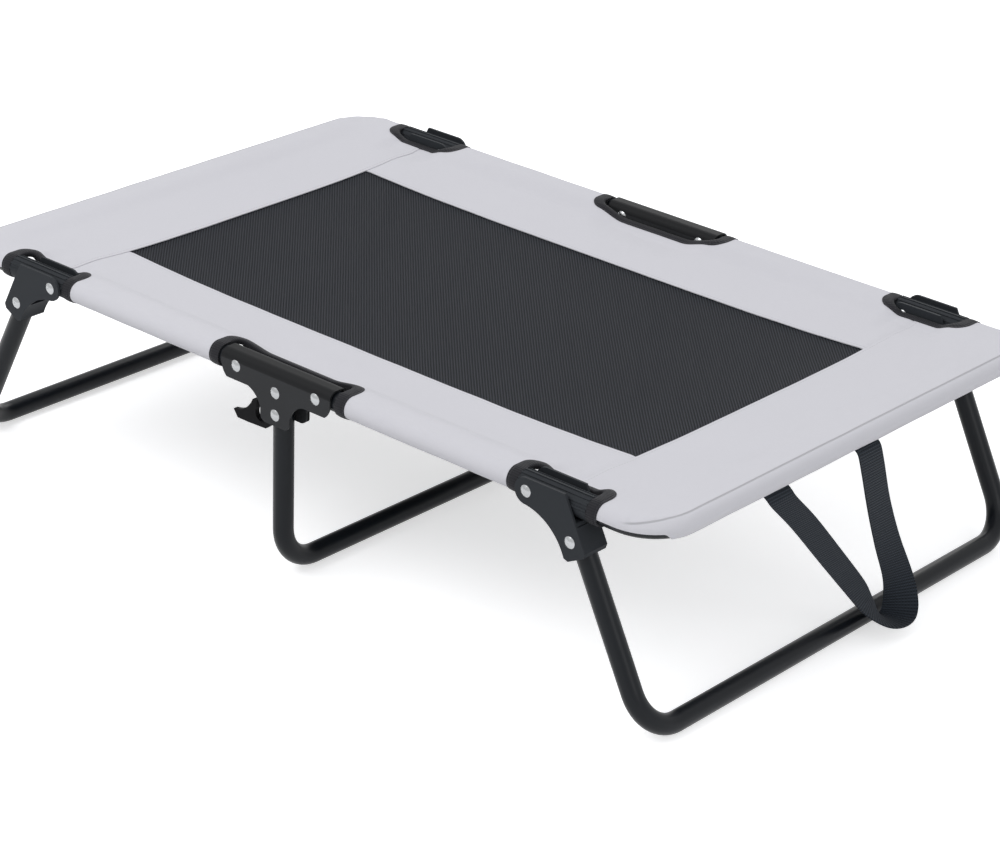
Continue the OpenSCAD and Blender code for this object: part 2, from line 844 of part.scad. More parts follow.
// Direction across the band, which stays level at the rail and follows the turn below
function strap_across(i) =
    let (
        count = len(strap_path),
        up = i >= len(strap_down) + turn_steps / 2 ? -1 : 1,
        level = min(i, count - 1 - i) < 3,
        turn = i >= len(strap_down) && i <= len(strap_down) + turn_steps,
        flat = unit([0, -turn_down.z, turn_down.y]),
        hang = unit(up * cross([1, 0, 0], strap_dir(i))),
        last = len(strap_down) - 1,
        lean = i > last ? 0 : strap_lean * ease((i - 2) / 3) * (i == last ? 0.6 : 1)
    )
    turn ? flat : level ? [0, 1, 0] : hang * cos(lean) + cross(hang, strap_dir(i)) * sin(lean);

function strap_ring(i) =
    let (a = strap_across(i) * strap_w / 2, n = unit(cross(strap_dir(i), strap_across(i))) * strap_t / 2)
    [for (c = [[-1, -1], [1, -1], [1, 1], [-1, 1]]) strap_path[i] + a * c.x + n * c.y];

module carry_strap() {
    count = len(strap_path);
    points = [for (i = [0 : count - 1]) each strap_ring(i)];
    sides = [for (i = [0 : count - 2], k = [0 : 3])
        each [
            [4 * i + k, 4 * i + 4 + k, 4 * i + (k + 1) % 4],
            [4 * i + (k + 1) % 4, 4 * i + 4 + k, 4 * i + 4 + (k + 1) % 4]
        ]];
    last = 4 * count - 4;
    caps = [[0, 1, 2], [0, 2, 3], [last + 2, last + 1, last], [last + 3, last + 2, last]];
    color(BINDING) polyhedron(points, concat(sides, caps));
}

middle_leg_tube();
near_fold_bracket();
far_fold_bracket();
near_leg_catch();
far_leg_catch();
stem_rivets();
fold_pivot_rivets();
middle_mesh();
near_middle_panel();
far_middle_panel();
near_middle_binding();
far_middle_binding();
foot_frame_tube();
foot_tube_plugs();
foot_near_saddle();
foot_far_saddle();
foot_leg_pivot_rivets();
foot_end_panel();
foot_near_panel();
foot_far_panel();
foot_mesh();
foot_near_binding();
foot_far_binding();
foot_near_fold_binding();
foot_far_fold_binding();
carry_strap();
head_frame_tube();
head_tube_plugs();
head_near_saddle();
head_far_saddle();
head_leg_pivot_rivets();
head_end_panel();
head_near_panel();
head_far_panel();
head_mesh();
head_near_binding();
head_far_binding();
head_near_fold_binding();
head_far_fold_binding();
foot_leg_tube();
foot_near_leg_bracket();
foot_far_leg_bracket();
foot_leg_rivets();
head_leg_tube();
head_near_leg_bracket();
head_far_leg_bracket();
head_leg_rivets();
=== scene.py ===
"""Dressed model of a folding raised cot: sewn sling, bindings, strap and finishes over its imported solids."""

import json
import logging
import math
from dataclasses import dataclass, field
from enum import Enum
from typing import Callable, Optional, Sequence, Union

import bmesh
import bpy
from mathutils import Matrix, Vector, noise


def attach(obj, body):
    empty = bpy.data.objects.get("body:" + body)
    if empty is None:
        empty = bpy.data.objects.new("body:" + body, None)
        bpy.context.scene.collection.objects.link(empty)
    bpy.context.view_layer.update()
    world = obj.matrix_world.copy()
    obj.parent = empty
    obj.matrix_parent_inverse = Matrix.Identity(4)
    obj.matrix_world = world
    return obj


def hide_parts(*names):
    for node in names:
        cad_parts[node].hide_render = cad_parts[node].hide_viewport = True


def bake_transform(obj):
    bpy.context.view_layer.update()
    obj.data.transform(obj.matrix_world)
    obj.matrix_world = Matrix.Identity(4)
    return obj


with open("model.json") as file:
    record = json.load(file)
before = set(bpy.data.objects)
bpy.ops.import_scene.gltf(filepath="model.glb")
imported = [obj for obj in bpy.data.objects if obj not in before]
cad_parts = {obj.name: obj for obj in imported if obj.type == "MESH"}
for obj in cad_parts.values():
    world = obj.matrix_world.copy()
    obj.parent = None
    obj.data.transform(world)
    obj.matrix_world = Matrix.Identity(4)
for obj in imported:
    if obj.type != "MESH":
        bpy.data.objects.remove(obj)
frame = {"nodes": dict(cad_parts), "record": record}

LOG = logging.getLogger("cot")
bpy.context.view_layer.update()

Flat = tuple[float, float]
Span = tuple[float, float]
Socket = bpy.types.NodeSocket
Value = Union[float, Sequence[float], Socket]


class End(Enum):
    """End of the cot, with the sign of its X."""

    FOOT = 1
    HEAD = -1

    @property
    def word(self) -> str:
        """Name of the end in node names."""
        return self.name.lower()


class Side(Enum):
    """Side of the cot, with the sign of its Y."""

    NEAR = -1
    FAR = 1

    @property
    def word(self) -> str:
        """Name of the side in node names."""
        return self.name.lower()


@dataclass(frozen=True)
class CotSizes:
    """Sizes of the cot that its cover and strap follow, in metres."""

    rail_y: float = 0.310
    rail_h: float = 0.226
    end_x: float = 0.490
    bend_r: float = 0.045
    mesh_half_l: float = 0.366
    mesh_half_w: float = 0.190
    sleeve_mid: float = 0.0118
    cloth_t: float = 0.001
    mesh_t: float = 0.0006
    trim: float = 0.001
    tape_mid: float = 0.01225
    tape_t: float = 0.0019
    tape_w: float = 0.008
    collar_w: float = 0.013
    edge_y: float = 0.290
    cut_depth: float = 0.020
    fold_cut: float = 0.084
    cut_a: float = 0.327
    cut_b: float = 0.413
    cut_r: float = 0.010
    seam_lap: float = 0.008
    bend_start: float = 0.035
    bend_end: float = 0.085


SIZES = CotSizes()


class Graph:
    """Short way to add and join shader nodes in one tree."""

    def __init__(self, tree: bpy.types.NodeTree) -> None:
        """Keeps the tree that the nodes go into."""
        self.tree = tree

    def add(self, kind: str, **settings: object) -> bpy.types.Node:
        """Adds a node.

        Args:
            kind: Node type without the ShaderNode prefix.
            settings: Properties to set on the node.

        Returns:
            The new node.
        """
        node = self.tree.nodes.new("ShaderNode" + kind)
        for name, value in settings.items():
            setattr(node, name, value)
        return node

    def put(self, value: Value, socket: Socket) -> None:
        """Links a socket to an input, or sets the input's own value.

        Args:
            value: The value, or the output that gives it.
            socket: The input.
        """
        if isinstance(value, bpy.types.NodeSocket):
            self.tree.links.new(value, socket)
        else:
            socket.default_value = value

    def fill(self, node: bpy.types.Node, **values: Value) -> None:
        """Links or sets inputs of a node, by name with spaces as underscores."""
        for name, value in values.items():
            self.put(value, node.inputs[name.replace("_", " ")])

    def math(self, operation: str, a: Value, b: Value = 0.0, clamp: bool = False) -> Socket:
        """Adds a Math node.

        Args:
            operation: Blender's name of the operation.
            a: First value.
            b: Second value.
            clamp: Whether the result is held between 0 and 1.

        Returns:
            The node's output.
        """
        node = self.add("Math", operation=operation, use_clamp=clamp)
        self.put(a, node.inputs[0])
        self.put(b, node.inputs[1])
        return node.outputs[0]

    def ramp(self, value: Value, low: float, high: float) -> Socket:
        """Maps low..high smoothly to 0..1.

        Args:
            value: The value.
            low: Where the result leaves 0.
            high: Where it reaches 1.

        Returns:
            The node's output.
        """
        node = self.add("MapRange", interpolation_type="SMOOTHSTEP")
        self.fill(node, Value=value, From_Min=low, From_Max=high)
        return node.outputs["Result"]

    def mix(self, share: Value, a: Value, b: Value) -> Socket:
        """Mixes two colours by share and returns the colour.

        Args:
            share: Share of the second colour.
            a: First colour.
            b: Second colour.

        Returns:
            The mixed colour.
        """
        node = self.add("Mix", data_type="RGBA")
        self.fill(node, Factor=share, A=a, B=b)
        return node.outputs["Result"]

    def noise(self, vector: Socket, scale: float, detail: float = 2.0) -> Socket:
        """Adds a noise pattern and returns its value.

        Args:
            vector: Place on the surface.
            scale: Scale of the pattern.
            detail: Number of finer layers.

        Returns:
            The pattern's value.
        """
        node = self.add("TexNoise")
        self.fill(node, Vector=vector, Scale=scale, Detail=detail)
        return node.outputs["Fac"]

    def fall(self, value: Value, low: float, high: float) -> Socket:
        """Maps low..high smoothly to 1..0."""
        return self.math("SUBTRACT", 1.0, self.ramp(value, low, high))

    def wave(self, value: Value, angle: float) -> Socket:
        """Returns the sine of a value, counted with that angle to each unit of it."""
        return self.math("SINE", self.math("MULTIPLY", value, angle))

    def split(self, vector: Socket) -> bpy.types.Node:
        """Takes a vector apart into X, Y and Z.

        Args:
            vector: The vector.

        Returns:
            The node that has them as outputs.
        """
        node = self.add("SeparateXYZ")
        self.put(vector, node.inputs[0])
        return node

    def flat_map(self) -> Socket:
        """Returns the piece's own UV map, in metres of the flat cloth."""
        return self.add("UVMap", uv_map="flat").outputs["UV"]

    def mark(self, name: str) -> Socket:
        """Returns the value that the mesh carries under a name."""
        return self.add("Attribute", attribute_name=name).outputs["Fac"]

    def seeing(self) -> Socket:
        """Returns 1 for a ray that shows the surroundings: from the camera, a reflection or through glass.

        Returns:
            The value, which is 0 for any other ray.
        """
        path = self.add("LightPath")
        rays = self.math("ADD", path.outputs["Is Camera Ray"], path.outputs["Is Glossy Ray"])
        return self.math("ADD", rays, path.outputs["Is Transmission Ray"], clamp=True)

    def group(self, tree: bpy.types.NodeTree, **values: Value) -> bpy.types.Node:
        """Places a shader node group.

        Args:
            tree: The group.
            values: Its inputs, by name with spaces as underscores.

        Returns:
            The group's node.
        """
        node = self.add("Group", node_tree=tree)
        self.fill(node, **values)
        return node


def rgba(colour: Sequence[float], share: float = 1.0) -> tuple[float, float, float, float]:
    """Returns a linear colour, scaled by share, with full alpha."""
    return (colour[0] * share, colour[1] * share, colour[2] * share, 1.0)


@dataclass
class SurfaceEffects:
    """Shader node groups that several finishes share, with the spans over which their masks fade."""

    groove_fade: Span = (0.0002, 0.0016)
    thread_fade: Span = (0.0003, 0.0006)
    dash_fade: Span = (0.30, 0.40)
    slub_stretch: float = 0.09
    slub_scale: float = 0.9
    grain_scale: float = 900.0
    broad_scale: float = 14.0
    detail: float = 3.0

    def __post_init__(self) -> None:
        """Builds the groups once."""
        self.weave = self._weave()
        self.stitch = self._stitch()
        self.grain = self._grain()

    @staticmethod
    def _start(
        name: str, inputs: dict[str, str], outputs: dict[str, str]
    ) -> tuple[Graph, bpy.types.Node, bpy.types.Node]:
        """Starts a group.

        Args:
            name: Name of the group.
            inputs: Input names and socket types.
            outputs: Output names and socket types.

        Returns:
            The group's graph, its input node and its output node.
        """
        tree = bpy.data.node_groups.new(name, "ShaderNodeTree")
        for way, sockets in (("INPUT", inputs), ("OUTPUT", outputs)):
            for label, kind in sockets.items():
                tree.interface.new_socket(label, in_out=way, socket_type="NodeSocket" + kind)
        graph = Graph(tree)
        return graph, tree.nodes.new("NodeGroupInput"), tree.nodes.new("NodeGroupOutput")

    def _weave(self) -> bpy.types.NodeTree:
        """Plain weave on a UV map in metres: a height, and a shade that differs from thread to thread.

        Returns:
            The group.
        """
        graph, given, result = self._start(
            "woven threads", {"Vector": "Vector", "Threads": "Float"}, {"Height": "Float", "Shade": "Float"}
        )
        scale = graph.add("VectorMath", operation="SCALE")
        graph.put(given.outputs["Vector"], scale.inputs[0])
        graph.put(given.outputs["Threads"], scale.inputs["Scale"])
        counted = graph.split(scale.outputs[0])
        warp, weft = (graph.wave(counted.outputs[axis], math.pi) for axis in "XY")
        cross = graph.math("MULTIPLY", warp, weft)
        graph.put(graph.math("MULTIPLY", graph.math("ADD", cross, 1.0), 0.5), result.inputs["Height"])
        slub = graph.add("Mapping")
        slub.inputs["Scale"].default_value = (self.slub_stretch, 1.0, 1.0)
        graph.put(scale.outputs[0], slub.inputs["Vector"])
        graph.put(graph.noise(slub.outputs[0], self.slub_scale), result.inputs["Shade"])
        return graph.tree

    def _stitch(self) -> bpy.types.NodeTree:
        """Row of stitches at distance zero: a mask of its thread, and a mask of the groove that it pulls.

        Returns:
            The group.
        """
        graph, given, result = self._start(
            "row of stitches",
            {"Distance": "Float", "Along": "Float", "Pitch": "Float"},
            {"Thread": "Float", "Groove": "Float"},
        )
        off = graph.math("ABSOLUTE", given.outputs["Distance"])
        graph.put(graph.fall(off, *self.groove_fade), result.inputs["Groove"])
        step = graph.math("FRACT", graph.math("DIVIDE", given.outputs["Along"], given.outputs["Pitch"]))
        from_middle = graph.math("ABSOLUTE", graph.math("SUBTRACT", step, 0.5))
        dash = graph.fall(from_middle, *self.dash_fade)
        line = graph.fall(off, *self.thread_fade)
        graph.put(graph.math("MULTIPLY", line, dash), result.inputs["Thread"])
        return graph.tree

    def _grain(self) -> bpy.types.NodeTree:
        """Fine grain and a faint broad unevenness on Object coordinates, each from 0 to 1.

        Returns:
            The group.
        """
        outputs = {"Grain": "Float", "Broad": "Float"}
        graph, given, result = self._start("fine grain", {"Vector": "Vector"}, outputs)
        place = given.outputs["Vector"]
        graph.put(graph.noise(place, self.grain_scale, self.detail), result.inputs["Grain"])
        graph.put(graph.noise(place, self.broad_scale, self.detail), result.inputs["Broad"])
        return graph.tree


EFFECTS = SurfaceEffects()


@dataclass(frozen=True)
class Finish:
    """A surface finish with its linear colour."""

    name: str
    colour: tuple[float, float, float]
    roughness: float

    def start(self) -> tuple[bpy.types.Material, Graph, bpy.types.Node]:
        """Starts the material.

        Returns:
            The material, its graph and its Principled shader.
        """
        material = bpy.data.materials.new(self.name)
        material.use_nodes = True
        graph = Graph(material.node_tree)
        shader = material.node_tree.nodes["Principled BSDF"]
        shader.inputs["Roughness"].default_value = self.roughness
        return material, graph, shader

    @staticmethod
    def bump(graph: Graph, shader: bpy.types.Node, height: Value, distance: float) -> None:
        """Turns a height into the shader's normal.

        Args:
            graph: Graph of the material.
            shader: Its Principled shader.
            height: Height from 0 to 1.
            distance: Depth of the relief in metres.
        """
        node = graph.add("Bump")
        graph.fill(node, Strength=1.0, Distance=distance, Height=height)
        graph.fill(shader, Normal=node.outputs["Normal"])


@dataclass(frozen=True)
class HardFinish(Finish):
    """Coated metal, bare metal or moulding."""

    metallic: float = 0.0
    coat: float = 0.0
    coat_roughness: float = 0.22
    specular: float = 0.5
    relief: float = 0.00002
    spread: float = 0.10
    uneven: float = 0.12

    def material(self) -> bpy.types.Material:
        """Builds the material from fine grain on Object coordinates.

        Returns:
            The material.
        """
        material, graph, shader = self.start()
        grain = graph.group(EFFECTS.grain, Vector=graph.add("TexCoord").outputs["Object"])
        broad = grain.outputs["Broad"]
        tone = graph.mix(broad, rgba(self.colour, 1.0 - self.spread), rgba(self.colour, 1.0 + self.spread))
        smoothest = self.roughness - self.uneven / 2.0
        rough = graph.math("ADD", graph.math("MULTIPLY", broad, self.uneven), smoothest)
        graph.fill(shader, Base_Color=tone, Roughness=rough, Metallic=self.metallic)
        graph.fill(shader, Coat_Weight=self.coat, Coat_Roughness=self.coat_roughness)
        graph.fill(shader, Specular_IOR_Level=self.specular)
        self.bump(graph, shader, grain.outputs["Grain"], self.relief)
        return material


@dataclass(frozen=True)
class ClothFinish(Finish):
    """Woven cloth whose weave and stitches follow its own UV map; tones are shares of its colour."""

    threads: float = 1600.0
    relief: float = 0.00012
    pitch: float = 0.0042
    weave_tones: Span = (0.965, 1.03)
    broad_scale: float = 9.0
    broad_weight: float = 0.35
    broad_tone: float = 0.93
    sewn_weight: float = 0.55
    thread_tone: float = 0.72
    seam_shade_tone: float = 0.42
    row_pull: float = 1.4
    seam_pull: float = 5.0
    sheen: float = 0.12
    sheen_roughness: float = 0.5
    specular: float = 0.25

    def material(self) -> bpy.types.Material:
        """Builds the material from the weave, the stitched rows and the seam that the mesh marks, with painted
        shade darkening the seam's groove.

        Returns:
            The material.
        """
        material, graph, shader = self.start()
        flat = graph.flat_map()
        split = graph.split(flat)
        along = graph.math("ADD", split.outputs["X"], split.outputs["Y"])
        weave = graph.group(EFFECTS.weave, Vector=flat, Threads=self.threads)
        row = graph.group(EFFECTS.stitch, Distance=graph.mark("row"), Along=along, Pitch=self.pitch)
        seam = graph.group(EFFECTS.stitch, Distance=graph.mark("seam"), Along=along, Pitch=self.pitch)
        # The seam's groove: it pulls the relief down, and its colour is darkened as painted shade in the
        # crease.
        seam_crease = graph.math("MULTIPLY", seam.outputs["Groove"], graph.mark("seam_share"))
        tone = graph.mix(weave.outputs["Shade"], *(rgba(self.colour, share) for share in self.weave_tones))
        for mask, weight, share in (
            (graph.noise(flat, self.broad_scale), self.broad_weight, self.broad_tone),
            (row.outputs["Thread"], self.sewn_weight, self.thread_tone),
            (seam_crease, self.sewn_weight, self.seam_shade_tone),
        ):
            tone = graph.mix(graph.math("MULTIPLY", mask, weight), tone, rgba(self.colour, share))
        row_groove = graph.math("MULTIPLY", row.outputs["Groove"], self.row_pull)
        pulled = graph.math("ADD", row_groove, graph.math("MULTIPLY", seam_crease, self.seam_pull))
        self.bump(graph, shader, graph.math("SUBTRACT", weave.outputs["Height"], pulled), self.relief)
        graph.fill(shader, Base_Color=tone, Specular_IOR_Level=self.specular)
        graph.fill(shader, Sheen_Weight=self.sheen, Sheen_Roughness=self.sheen_roughness)
        return material


@dataclass(frozen=True)
class MeshFinish(Finish):
    """Open mesh of coated yarn: slanting ribs with small holes between them, with painted shade in the grooves
    and lighter rib tops.
    """

    rib: float = 0.0029
    yarn: float = 0.0016
    slant: float = math.radians(46.0)
    rib_height: float = 0.36
    yarn_height: float = 0.14
    relief: float = 0.0007
    relief_shades: Span = (0.15, 1.9)
    tone_fade: Span = (0.1, 0.95)
    broad_scale: float = 6.0
    broad_weight: float = 0.4
    broad_tone: float = 0.8
    open_share: float = 0.05
    hole_fade: Span = (0.1, 0.6)
    specular: float = 0.05

    def material(self) -> bpy.types.Material:
        """Builds the see-through weave on the sheet's own UV map.

        Returns:
            The material.
        """
        material, graph, shader = self.start()
        flat = graph.flat_map()
        turned = graph.add("Mapping")
        turned.inputs["Rotation"].default_value = (0.0, 0.0, self.slant)
        graph.put(flat, turned.inputs["Vector"])
        split = graph.split(turned.outputs[0])
        ribs = graph.wave(split.outputs["Y"], 2.0 * math.pi / self.rib)
        yarns = graph.wave(split.outputs["X"], 2.0 * math.pi / self.yarn)
        yarn_level = graph.math("ADD", graph.math("MULTIPLY", yarns, self.yarn_height), 0.5)
        height = graph.math("ADD", graph.math("MULTIPLY", ribs, self.rib_height), yarn_level)
        # Painted shade: colour follows relief height, darker in the grooves and lighter on the rib tops.
        shade = graph.ramp(height, *self.tone_fade)
        tone = graph.mix(shade, *(rgba(self.colour, share) for share in self.relief_shades))
        broad = graph.math("MULTIPLY", graph.noise(flat, self.broad_scale), self.broad_weight)
        tone = graph.mix(broad, tone, rgba(self.colour, self.broad_tone))
        closed = graph.math("MULTIPLY", graph.ramp(height, *self.hole_fade), self.open_share)
        alpha = graph.math("ADD", closed, 1.0 - self.open_share)
        graph.fill(shader, Base_Color=tone, Alpha=alpha, Specular_IOR_Level=self.specular)
        self.bump(graph, shader, height, self.relief)
        return material


@dataclass(frozen=True)
class TapeFinish(Finish):
    """Ribbed tape or webbing, with the ribs across its length and, if stitched, a row along it; painted shade
    makes its grooves darker and its rib tops lighter.
    """

    rib: float = 0.0011
    relief: float = 0.00035
    weave_height: float = 0.4
    rib_height: float = 0.3
    relief_shades: Span = (0.72, 1.25)
    stitched: bool = True
    pitch: float = 0.0036
    thread_weight: float = 0.6
    thread_tone: float = 1.7
    sheen: float = 0.06
    specular: float = 0.08

    def material(self) -> bpy.types.Material:
        """Builds the material on the tape's own UV map, which runs along it and then across.

        Returns:
            The material.
        """
        material, graph, shader = self.start()
        flat = graph.flat_map()
        along = graph.split(flat).outputs["X"]
        weave = graph.group(EFFECTS.weave, Vector=flat, Threads=1.0 / self.rib)
        ribs = graph.math("ADD", graph.wave(along, math.pi / self.rib), 1.0)
        threads = graph.math("MULTIPLY", weave.outputs["Height"], self.weave_height)
        height = graph.math("ADD", threads, graph.math("MULTIPLY", ribs, self.rib_height))
        # Painted shade: colour follows relief height, darker in the grooves and lighter on the ribs.
        tone = graph.mix(height, *(rgba(self.colour, share) for share in self.relief_shades))
        if self.stitched:
            row = graph.group(EFFECTS.stitch, Distance=graph.mark("row"), Along=along, Pitch=self.pitch)
            thread = graph.math("MULTIPLY", row.outputs["Thread"], self.thread_weight)
            tone = graph.mix(thread, tone, rgba(self.colour, self.thread_tone))
            height = graph.math("SUBTRACT", height, row.outputs["Groove"])
        graph.fill(shader, Base_Color=tone, Sheen_Weight=self.sheen, Specular_IOR_Level=self.specular)
        self.bump(graph, shader, height, self.relief)
        return material


@dataclass(frozen=True)
class PressedFinish(HardFinish):
    """Coated pressed sheet with painted shade: its rolled top is painted darker than its walls."""

    roll_levels: Span = (0.2296, 0.2312)
    roll_shade_tone: float = 0.45

    def material(self) -> bpy.types.Material:
        """Builds the coat, with painted shade that darkens it above the line where the sheet begins to roll
        over.

        Returns:
            The material.
        """
        material = super().material()
        graph = Graph(material.node_tree)
        shader = material.node_tree.nodes["Principled BSDF"]
        wall = shader.inputs["Base Color"].links[0].from_socket
        height = graph.split(graph.add("TexCoord").outputs["Object"]).outputs["Z"]
        # Painted shade: the rolled top is darkened by height, standing in for how the light falls on the roll.
        roll_shade = graph.ramp(height, *self.roll_levels)
        graph.fill(shader, Base_Color=graph.mix(roll_shade, wall, rgba(self.colour, self.roll_shade_tone)))
        return material


CLOTH = ClothFinish("light grey weave", (0.600, 0.593, 0.625), 0.82)
MESH = MeshFinish("dark open mesh", (0.021, 0.023, 0.028), 0.55)
TAPE = TapeFinish("dark binding tape", (0.020, 0.020, 0.023), 0.62)
WEBBING = TapeFinish(
    "dark ribbed webbing", (0.016, 0.020, 0.026), 0.6,
    rib=0.0016, relief=0.0006, relief_shades=(0.3, 1.9), stitched=False,
)
HARD_FINISHES: dict[str, HardFinish] = {
    "tube_black": HardFinish("black satin tube coat", (0.007, 0.0085, 0.011), 0.34, coat=0.1, specular=0.14),
    "pressed_charcoal": PressedFinish("charcoal sheet coat", (0.029, 0.030, 0.032), 0.45, specular=0.08),
    "moulded_charcoal": HardFinish(
        "charcoal moulding", (0.027, 0.030, 0.034), 0.52, specular=0.08, relief=0.00005
    ),
    "moulded_black": HardFinish("black moulding", (0.006, 0.006, 0.007), 0.5, specular=0.06, relief=0.00004),
    "rivet_steel": HardFinish(
        "bright rivet", (0.42, 0.43, 0.44), 0.26, metallic=1.0, relief=0.00004, spread=0.18
    ),
}


@dataclass(frozen=True)
class Pocket:
    """Cut-out in the sling's edge, in flat sheet coordinates with Y counted outwards."""

    x0: float
    x1: float
    edge: float
    corner: float

    def grown(self, sideways: float, inwards: float) -> "Pocket":
        """Returns the pocket with its sides and inner edge moved into the cloth."""
        return Pocket(self.x0 - sideways, self.x1 + sideways, self.edge - inwards, self.corner + inwards)

    def depth(self, x: float, y: float) -> tuple[float, Flat]:
        """Tells how deep a point lies in the pocket.

        Args:
            x: X of the point.
            y: Distance of the point from the cot's middle line.

        Returns:
            The depth, positive inside, and the nearest point on the pocket's edge.
        """
        middle = (self.x0 + self.x1) / 2.0
        left = x < middle
        cx = self.x0 + self.corner if left else self.x1 - self.corner
        cy = self.edge + self.corner
        beyond = cx - x if left else x - cx
        if beyond > 0.0 and y < cy:
            away = math.hypot(x - cx, y - cy)
            share = self.corner / max(away, 1e-9)
            return self.corner - away, (cx + (x - cx) * share, cy + (y - cy) * share)
        to_side = x - self.x0 if left else self.x1 - x
        to_edge = y - self.edge
        if to_side < to_edge:
            return to_side, (self.x0 if left else self.x1, y)
        return to_edge, (x, self.edge)


FOLD_POCKET = Pocket(-SIZES.fold_cut, SIZES.fold_cut, SIZES.edge_y, SIZES.cut_r)
END_POCKET = Pocket(SIZES.cut_a, SIZES.cut_b, SIZES.edge_y, SIZES.cut_r)


def ease(share: float) -> float:
    """Smooth step from 0 to 1."""
    held = min(max(share, 0.0), 1.0)
    return held * held * (3.0 - 2.0 * held)


def eased(value: float, span: Span) -> float:
    """Smooth step from 0 at the span's start to 1 at its end."""
    return ease((value - span[0]) / (span[1] - span[0]))


@dataclass(frozen=True)
class SlingForm:
    """Shape of the sling: a shallow sag between the rails, wrapped round them at its edges."""

    sag: float = 0.022
    sag_power: int = 4
    level: float = 0.011
    run_in: float = 3.0
    near_edge_sag: float = 0.005
    far_edge_sag: float = 0.009
    leg_edge_sag: float = 0.006
    full_turn: float = math.radians(325.0)
    cap_turn: float = math.radians(98.0)
    cap_fade: Span = (0.12, 0.62)

    def rail(self, x: float, y: float) -> tuple[float, Vector, Vector]:
        """Finds the rail next to a flat point.

        Args:
            x: Flat X.
            y: Flat Y.

        Returns:
            The distance beyond the rail's axis, the nearest point of the axis and the direction outwards.
        """
        ax, ay = abs(x), abs(y)
        bx, by = SIZES.end_x - SIZES.bend_r, SIZES.rail_y - SIZES.bend_r
        if ax > bx and ay > by:
            away = max(math.hypot(ax - bx, ay - by), 1e-9)
            normal = Vector(((ax - bx) / away, (ay - by) / away, 0.0))
            foot = Vector((bx, by, 0.0)) + normal * SIZES.bend_r
            out = away - SIZES.bend_r
        elif ax - SIZES.end_x > ay - SIZES.rail_y:
            out, normal = ax - SIZES.end_x, Vector((1.0, 0.0, 0.0))
            foot = Vector((SIZES.end_x, ay, 0.0))
        else:
            out, normal = ay - SIZES.rail_y, Vector((0.0, 1.0, 0.0))
            foot = Vector((ax, SIZES.rail_y, 0.0))
        sign = Vector((math.copysign(1.0, x), math.copysign(1.0, y), 1.0))
        return out, foot * sign, normal * sign

    def reach(self, x: float, y: float) -> float:
        """Length of cloth beyond the rail's axis: the corner caps are short and leave the tube bare below.

        Args:
            x: Flat X.
            y: Flat Y.

        Returns:
            The length.
        """
        normal = self.rail(x, y)[2]
        if abs(x) < SIZES.cut_b:
            return self.full_turn * SIZES.sleeve_mid
        share = eased(abs(normal.y), self.cap_fade)
        return (self.full_turn + (self.cap_turn - self.full_turn) * share) * SIZES.sleeve_mid

    def droop(self, x: float, y: float, inside: float) -> float:
        """Depth of the sag at a flat point that lies that far inside the rails.

        Args:
            x: Flat X.
            y: Flat Y.
            inside: Distance of the point from the nearest rail's axis.

        Returns:
            The depth below the rails' line.
        """
        lengthways = 1.0 - min(abs(x) / SIZES.end_x, 1.0) ** self.sag_power
        across = 1.0 - min(abs(y) / SIZES.rail_y, 1.0) ** self.sag_power
        sag = self.sag * lengthways * across * ease((inside - self.level) / (self.run_in * self.level))
        at_fold = ease((SIZES.fold_cut - abs(x)) / (2.0 * SIZES.cut_depth))
        at_leg = ease((abs(x) - SIZES.cut_a) / SIZES.cut_depth)
        at_leg *= ease((SIZES.cut_b - abs(x)) / SIZES.cut_depth)
        near_edge = ease(1.0 + (abs(y) - SIZES.edge_y) / (self.run_in * SIZES.cut_depth))
        fold_sag = self.far_edge_sag if y > 0.0 else self.near_edge_sag
        return sag + max(fold_sag * at_fold, self.leg_edge_sag * at_leg) * near_edge

    def place(self, x: float, y: float, radius: float, lift: float = 0.0) -> Vector:
        """Puts a flat point on the sling.

        Args:
            x: Flat X.
            y: Flat Y.
            radius: Distance of the surface from a rail's axis.
            lift: Small distance outwards, for laps and puckers.

        Returns:
            The point in the cot's frame.
        """
        out, foot, normal = self.rail(x, y)
        if out <= 0.0:
            return Vector((x, y, SIZES.rail_h + radius + lift - self.droop(x, y, -out)))
        turn = out / SIZES.sleeve_mid
        reach = radius + lift
        height = SIZES.rail_h + reach * math.cos(turn)
        return foot + normal * (reach * math.sin(turn)) + Vector((0.0, 0.0, height))


FORM = SlingForm()


def lines(start: float, *stretches: tuple[float, float]) -> list[float]:
    """Makes grid lines.

    Args:
        start: First line.
        stretches: End of each stretch, and the widest step in it.

    Returns:
        The lines in rising order.
    """
    result = [start]
    for stop, step in stretches:
        count = max(1, math.ceil((stop - result[-1]) / step - 1e-6))
        first = result[-1]
        result += [first + (stop - first) * (i + 1) / count for i in range(count)]
    return result


def mirrored(values: Sequence[float], sign: int) -> list[float]:
    """Returns grid lines as they are, or turned round to the negative side."""
    return list(values) if sign > 0 else [-v for v in reversed(values)]


def flat_grid(xs: Sequence[float], ys: Sequence[float]) -> bmesh.types.BMesh:
    """Makes a level grid on the given lines, with faces up.

    Args:
        xs: Lines along X.
        ys: Lines along Y.

    Returns:
        The grid.
    """
    bm = bmesh.new()
    bmesh.ops.create_grid(bm, x_segments=len(xs) - 1, y_segments=len(ys) - 1, size=0.5)
    for vert in bm.verts:
        i = round((vert.co.x + 0.5) * (len(xs) - 1))
        j = round((vert.co.y + 0.5) * (len(ys) - 1))
        vert.co = (xs[i], ys[j], 0.0)
    return bm


